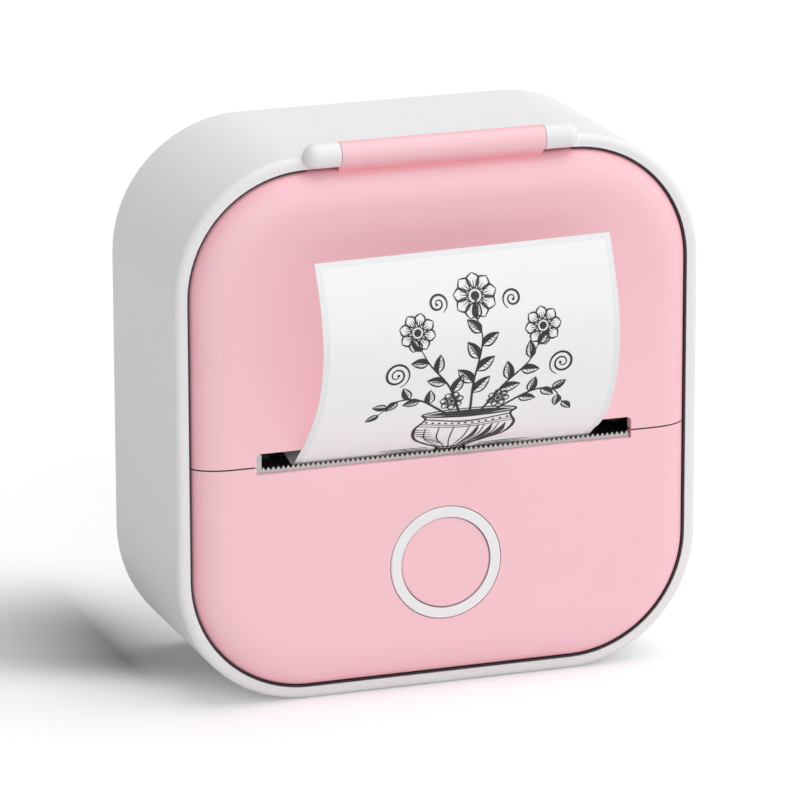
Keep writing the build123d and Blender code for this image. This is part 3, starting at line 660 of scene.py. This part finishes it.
def flower(centre, radius, petals, turn):
    centre = Vector(centre)
    ring = radius * flowerLook["ring"]
    for i in range(petals):
        angle = turn + 360 * i / petals
        root, tip = centre + polar(ring, angle), centre + polar(radius, angle)
        side = polar(radius * flowerLook["plump"], angle + 90)
        for hand in (-1, 1):
            stroke(beside(root, tip, side * hand, flowerLook["petal"]), flowerLook["petalWidths"])
        for lean in flowerLook["hatches"]:
            stroke(beside(root, tip, side * lean, flowerLook["hatch"]), flowerLook["hatchWidths"])
    dot(centre, radius * flowerLook["eye"])
    for i in range(petals * 2):
        dot(centre + polar(ring, turn + 180 * i / petals), flowerLook["ringDot"])


tendrilLook = {"perTurn": 12, "close": 0.86, "widths": (0.12, 0.34, 0.4, 0.3, 0.16), "bud": 0.24}


def tendril(centre, radius, start, turns):
    steps = round(abs(turns) * tendrilLook["perTurn"])
    shares = [i / steps for i in range(steps + 1)]
    close = tendrilLook["close"]
    points = [Vector(centre) + polar(radius * (1 - close * t), start + 360 * turns * t) for t in shares]
    stroke(points, tendrilLook["widths"])
    dot(points[-1], tendrilLook["bud"])


# The urn: its half width and height from the rim down to the foot, then its bands as half width, height and
# stroke width, its flutes and their shadows as shares of the half width, and its hatching.
urn = {
    "middle": 1.0,
    "side": [
        (7.9, 13.4), (7.1, 12.2), (8.3, 9.6), (7.6, 6.4), (5.0, 3.6), (2.7, 1.9), (2.3, 0.6), (3.9, -1.2),
    ],
    "sideWidths": (0.5, 0.34, 0.6, 0.5, 0.42, 0.4, 0.44, 0.6),
    "mouth": 0.95,
    "mouthWidths": (0.2, 0.3, 0.55, 0.3, 0.2),
    "earth": (0.9, 0.05),
    "earthWidths": (0.1, 1.1, 1.3, 1.1, 0.1),
    "bands": ((7.15, 12.2, 0.36), (7.8, 11.0, 0.2), (8.2, 10.4, 0.2)),
    "sag": 1.2,
    "beads": {"count": 13, "reach": 0.9, "half": 7.5, "height": 11.6, "sag": 1.15, "radius": 0.24},
    "flutes": (-0.78, -0.5, -0.2, 0.12, 0.42, 0.7),
    "fluteWidths": (0.16, 0.24, 0.22, 0.18, 0.12),
    "shadows": (0.3, 0.57, 0.84),
    "hatch": {"count": 9, "top": 9.2, "step": 0.72, "widths": (0.24, 0.16, 0.05)},
    "neck": {"half": 2.6, "heights": (1.7, 0.9), "sag": 0.3, "widths": (0.3, 0.4, 0.5)},
}


def urnSide(share, start=0, end=None):
    return [(urn["middle"] + share * half, v) for half, v in urn["side"][start:end]]


# a stroke right across the urn that hangs lower in its middle
def urnSwag(half, v, sag, widths, across=1):
    middle = urn["middle"]
    stroke([(middle - half, v), (middle, v - sag), (middle + half, v)], widths, across)


def urnDrawing():
    middle = urn["middle"]
    rim, rimV = urn["side"][0]
    for hand in (-1, 1):
        stroke(urnSide(hand), urn["sideWidths"])
    turns = [radians(a) for a in range(90, 451, 20)]
    stroke([(middle + rim * cos(a), rimV + urn["mouth"] * sin(a)) for a in turns], urn["mouthWidths"])
    urnSwag(rim * urn["earth"][0], rimV, urn["earth"][1], urn["earthWidths"], 2)
    for half, v, width in urn["bands"]:
        urnSwag(half, v, urn["sag"], (0.7 * width, width, 0.7 * width))
    beads = urn["beads"]
    for i in range(beads["count"]):
        share = beads["reach"] * (2 * i / (beads["count"] - 1) - 1)
        v = beads["height"] - beads["sag"] * (1 - share**2)
        dot((middle + beads["half"] * share, v), beads["radius"])
    for share in urn["flutes"]:
        stroke(urnSide(share, 2, 7), urn["fluteWidths"])
    for i, share in enumerate(urn["shadows"]):
        stroke(urnSide(share, 2, 6), (0.1, 0.7 + 0.25 * i, 0.9 + 0.2 * i, 0.5, 0.12), 2)
    hatch = urn["hatch"]
    for i in range(hatch["count"]):
        v = hatch["top"] - hatch["step"] * i
        half = along([half for half, _ in urn["side"][2:6]], i / (hatch["count"] - 0.5))
        reach = [(half, 0.2), (half * 0.8, -0.1), (half * (0.66 - 0.02 * i), -0.3)]
        stroke([(middle - out, v + up) for out, up in reach], hatch["widths"])
    neck = urn["neck"]
    for v in neck["heights"]:
        urnSwag(neck["half"], v, neck["sag"], neck["widths"])


# a few lines of ground on each side of the foot
ground = {"lines": 7, "top": 1.9, "step": 0.55, "left": (-11.4, -7.6, -3.2), "right": (5.6, 10.2, 14.6)}


def groundLines():
    for i in range(ground["lines"]):
        v = ground["top"] - ground["step"] * i
        near, middle, far = ground["left"]
        stroke([(near + 0.9 * i, v), (middle, v + 0.1), (far + 0.3 * i, v)], (0.06, 0.24, 0.1))
        near, middle, far = ground["right"]
        stroke([(near - 0.3 * i, v), (middle, v + 0.1), (far - 0.9 * i, v)], (0.1, 0.28, 0.06))


# stems as points, number of leaves, leaf length and leaf half width
sprigs = [
    ([(1.0, 13.6), (0.5, 20.0), (1.6, 27.0), (0.9, 30.4)], 6, 4.0, 0.95),
    ([(-0.8, 13.6), (-3.4, 19.4), (-7.0, 23.8), (-8.6, 26.4)], 4, 3.6, 0.85),
    ([(2.8, 13.6), (5.6, 18.8), (9.4, 22.6), (11.0, 25.4)], 4, 3.6, 0.85),
    ([(-3.2, 13.7), (-8.0, 17.2), (-12.0, 17.4), (-14.4, 14.6)], 5, 3.1, 0.75),
    ([(5.4, 13.7), (10.4, 17.0), (14.2, 17.0), (16.4, 14.0)], 5, 3.1, 0.75),
]
# flowers as centre, radius, petals and turn
flowers = [
    ((0.8, 34.2), 3.7, 9, 12),
    ((-9.3, 29.4), 3.1, 8, 30),
    ((11.9, 28.4), 3.1, 8, 5),
    ((-2.6, 16.4), 2.0, 7, 20),
    ((5.2, 16.2), 1.9, 7, 48),
]
# tendrils as centre, radius, start and turns
tendrils = [
    ((-12.6, 22.6), 2.3, -70, 2.2),
    ((15.2, 22.0), 2.2, 250, -2.2),
    ((-5.6, 33.6), 1.7, 300, 1.8),
    ((7.0, 33.2), 1.7, 240, -1.8),
]
urnDrawing()
for motif, rows in ((sprig, sprigs), (flower, flowers), (tendril, tendrils)):
    for row in rows:
        motif(*row)
groundLines()
printed = piece("label_print", ink, "ink", "cover")
thicken(printed, printing["thickness"])
print("label printed,", len(printed.data.polygons), "faces")


# a black bar on the root, from one ring of four corners to the next and closed at both ends
def bar(name, mesh, runs):
    for rings in runs:
        for one, other in zip(rings, rings[1:]):
            for k in range(4):
                mesh.faces.new((one[k], one[(k + 1) % 4], other[(k + 1) % 4], other[k]))
        mesh.faces.new(rings[0])
        mesh.faces.new(list(reversed(rings[-1])))
    bmesh.ops.recalc_face_normals(mesh, faces=mesh.faces)
    made = piece(name, mesh, "black_plastic", "root")


# The black band in the gap between the shell's rim and the panels, painted shade that darkens the gap: a thin
# band round the front, open at the top where the hinge crosses it.
gapShade = {
    "middle": (0.0, 44.5),
    "half": (41.83, 42.33),
    "radius": 19.53,
    "width": 0.32,
    "front": -17.76,
    "back": -16.95,
    "hinge": 22.5,
    "turnSteps": 20,
}


def rimGapShade():
    across, up, radius = *gapShade["half"], gapShade["radius"]
    line = [(Vector((-gapShade["hinge"], up)), Vector((0, 1)))]
    for turnX, turnZ, start in ((-1, 1, 90), (-1, -1, 180), (1, -1, 270), (1, 1, 0)):
        centre = Vector((turnX * (across - radius), turnZ * (up - radius)))
        for i in range(gapShade["turnSteps"] + 1):
            away = polar(1.0, start + 90 * i / gapShade["turnSteps"])
            line.append((centre + away * radius, away))
    line.append((Vector((gapShade["hinge"], up)), Vector((0, 1))))
    band = bmesh.new()
    rings = []
    for spot, away in line:
        ring = []
        for side, depth in ((1, "front"), (1, "back"), (-1, "back"), (-1, "front")):
            edge = Vector(gapShade["middle"]) + spot + away * side * gapShade["width"] / 2
            ring.append(band.verts.new(Vector((edge.x, gapShade[depth], edge.y)) * mm))
        rings.append(ring)
    bar("rim_gap_shade", band, [rings])


# The dark line in the seam between cover and front panel, a black bar that paints the seam's shade, from each
# end of the slot out to the side. It lies a little behind the panel's face, which a ray finds just below the
# seam.
def seamShadeLine():
    look = {"from": 32.0, "to": 41.5, "steps": 30, "low": 39.99, "high": 40.13, "behind": 0.1, "deep": 0.5}
    probe = {"y": -40.0, "below": 0.35}
    panel = frame["nodes"]["front_panel"]
    line = bmesh.new()
    runs = []
    for hand in (-1, 1):
        rings = []
        for i in range(look["steps"] + 1):
            x = hand * (look["from"] + (look["to"] - look["from"]) * i / look["steps"])
            start = Vector((x, probe["y"], look["low"] - probe["below"])) * mm
            spot = panel.ray_cast(start, Vector((0, 1, 0)))[1]
            front = spot.y / mm + look["behind"]
            back = front + look["deep"]
            corners = ((front, "low"), (front, "high"), (back, "high"), (back, "low"))
            rings.append([line.verts.new(Vector((x, y, look[z])) * mm) for y, z in corners])
        runs.append(rings)
    bar("seam_shade_line", line, runs)


rimGapShade()
seamShadeLine()
print("seal and seam line made")


# the head springs, between the fixed wall and the head plate, as a piece of their own: a steel copy of the
# CAD mesh in place of the hidden node
def springCoils():
    node = frame["nodes"]["head_springs"]
    data = node.data.copy()
    data.transform(node.matrix_world)
    coils = bpy.data.objects.new("spring_coils", data)
    bpy.context.scene.collection.objects.link(coils)
    dress(coils, "steel")
    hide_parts("head_springs")
    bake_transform(coils)


springCoils()

# camera: the photograph's viewing angle, a long lens from the front left, a little above
camera = {
    "eye": (-0.32311, -0.91270, 0.31843),
    "target": (-0.006856, -0.018, 0.048159),
    "roll": -0.134,
    "lens": 280.08,
}
lensData = bpy.data.cameras.new("camera")
lensData.lens = camera["lens"]
lensData.sensor_width = 36.0
lensData.clip_end = 10.0
viewer = bpy.data.objects.new("camera", lensData)
aim = (Vector(camera["target"]) - Vector(camera["eye"])).to_track_quat("-Z", "Y")
viewer.matrix_world = Matrix.Translation(camera["eye"]) @ (
    aim @ Quaternion((0, 0, 1), radians(camera["roll"]))
).to_matrix().to_4x4()
bpy.context.scene.collection.objects.link(viewer)
bpy.context.scene.camera = viewer

# studio: soft daylight all round and broad lamps, the strongest overhead
studio = {
    "world": 0.25,
    "overhead": {"energy": 1.5, "angle": 60.0, "towards": (-0.15, 0.0, -1.0)},
    "upperRight": {"energy": 0.375, "angle": 60.0, "towards": (-0.64, 0.30, -0.71)},
    "front": {"energy": 0.9, "angle": 50.0, "towards": (-0.10, 0.93, -0.35)},
    "right": {"energy": 0.45, "angle": 70.0, "towards": (-0.95, 0.20, -0.30)},
}
world = bpy.data.worlds.new("studio")
bpy.context.scene.world = world
world.use_nodes = True
skyNodes = world.node_tree.nodes
sky = skyNodes["Background"]
sky.inputs["Color"].default_value = (1, 1, 1, 1)
path = skyNodes.new("ShaderNodeLightPath")
backdropRays = ("Is Camera Ray", "Is Glossy Ray", "Is Transmission Ray")
seen = path.outputs[backdropRays[0]]
for ray in backdropRays[1:]:
    either = skyNodes.new("ShaderNodeMath")
    either.operation = "MAXIMUM"
    world.node_tree.links.new(seen, either.inputs[0])
    world.node_tree.links.new(path.outputs[ray], either.inputs[1])
    seen = either.outputs[0]
strength = skyNodes.new("ShaderNodeMapRange")
strength.inputs["To Min"].default_value = studio["world"]
strength.inputs["To Max"].default_value = 1.0
world.node_tree.links.new(seen, strength.inputs["Value"])
world.node_tree.links.new(strength.outputs["Result"], sky.inputs["Strength"])
for name in ("overhead", "upperRight", "front", "right"):
    lamp = bpy.data.lights.new(name, "SUN")
    lamp.energy = studio[name]["energy"]
    lamp.angle = radians(studio[name]["angle"])
    holder = bpy.data.objects.new(name, lamp)
    holder.rotation_mode = "QUATERNION"
    holder.rotation_quaternion = Vector(studio[name]["towards"]).to_track_quat("-Z", "Y")
    bpy.context.scene.collection.objects.link(holder)

# Floor: pale, and lifted to white for the camera. Part of the wide shadow at the object's left is in its
# colour, because broad lamps alone leave it too weak.
floorLook = {
    "half": 3.0,
    "drop": 0.00005,
    "colour": (0.9, 0.9, 0.9),
    "dark": (0.02, 0.02, 0.02),
    "roughness": 0.9,
    "lift": 0.19,
}
shade = {
    "strength": 0.77,
    "side": -0.044,
    "left": 0.0336,
    "right": 0.012,
    "middle": 0.0141,
    "lean": -0.479,
    "back": 0.0359,
    "front": 0.0146,
    "power": 2.8,
}
floorMesh = bmesh.new()
bmesh.ops.create_grid(floorMesh, x_segments=1, y_segments=1, size=floorLook["half"])
bmesh.ops.translate(floorMesh, verts=floorMesh.verts, vec=(0, 0, -floorLook["drop"]))
floorData = bpy.data.meshes.new("floor")
floorMesh.to_mesh(floorData)
floorMesh.free()
floor = bpy.data.objects.new("floor", floorData)
bpy.context.scene.collection.objects.link(floor)
floorFinish = Finish(
    "floor",
    floorLook["colour"],
    floorLook["roughness"],
    Specular_IOR_Level=0.0,
    Emission_Strength=floorLook["lift"],
)


# a distance counted in one unit on one side of zero and in another on the other side
def twoSided(distance, below, above):
    return distance.maths("MAXIMUM", distance, 0.0) / above - distance.maths("MINIMUM", distance, 0.0) / below


# the shade falls off with the distance from the object's side and from a slanting middle line
fromSide = floorFinish.coordinate("x") - shade["side"]
fromMiddle = floorFinish.coordinate("y") - shade["middle"] - fromSide * shade["lean"]
fading = twoSided(fromSide, shade["left"], shade["right"])
fading = fading + twoSided(fromMiddle, shade["front"], shade["back"]) ** shade["power"]
shadow = fading.maths("EXPONENT", fading * -1.0) * shade["strength"]
floorFinish.put("Base Color", floorFinish.tone(shadow, floorLook["colour"], floorLook["dark"]))
seenBy = [floorFinish.add("ShaderNodeLightPath", out=ray) for ray in backdropRays]
seen = seenBy[0]
for ray in seenBy[1:]:
    seen = seen.maths("MAXIMUM", seen, ray)
floorFinish.put("Emission Color", floorFinish.tone(seen * (1.0 - shadow), (0, 0, 0), (1, 1, 1)))
floorData.materials.append(floorFinish.material)

bpy.context.scene.view_settings.view_transform = "Standard"
print("camera, lamps and floor set")
